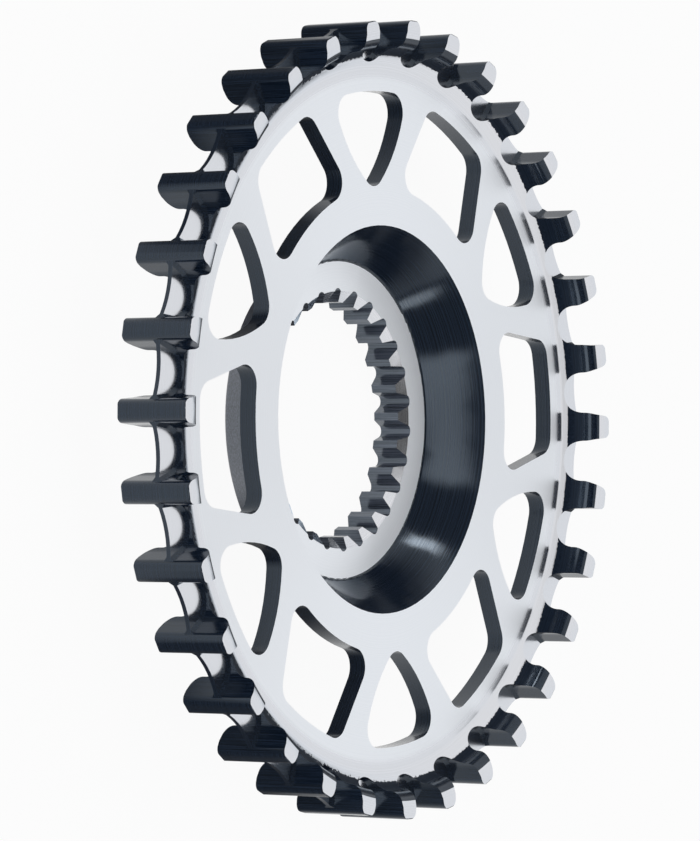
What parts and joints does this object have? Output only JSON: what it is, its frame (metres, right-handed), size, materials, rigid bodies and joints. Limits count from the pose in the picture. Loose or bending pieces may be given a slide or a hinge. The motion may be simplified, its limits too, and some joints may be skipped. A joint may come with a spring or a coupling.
{
  "type": "belt drive sprocket",
  "caption": "Toothed wheel for a bicycle drive belt, with a guide flange between the tooth halves, a windowed disc and a dished hub with a splined bore.",
  "frame": {"origin": "on the wheel's axis, in the flat rear face of the hub, on which the part lies", "axes": "+Z along the axis, from the hub's rear face towards the bright front face of the disc; a tooth space and a three-sided window are centred on +Y, and a four-sided window on +X"},
  "size_m": [0.1094, 0.1094, 0.0166],
  "materials": {
    "faced_aluminium": "black anodised, then faced bright on the disc, the tooth ends, the hub's front ring and the centre flange"
  },
  "bodies": {
    "root": {"belt_sprocket": "faced_aluminium"}
  },
  "joints": []
}
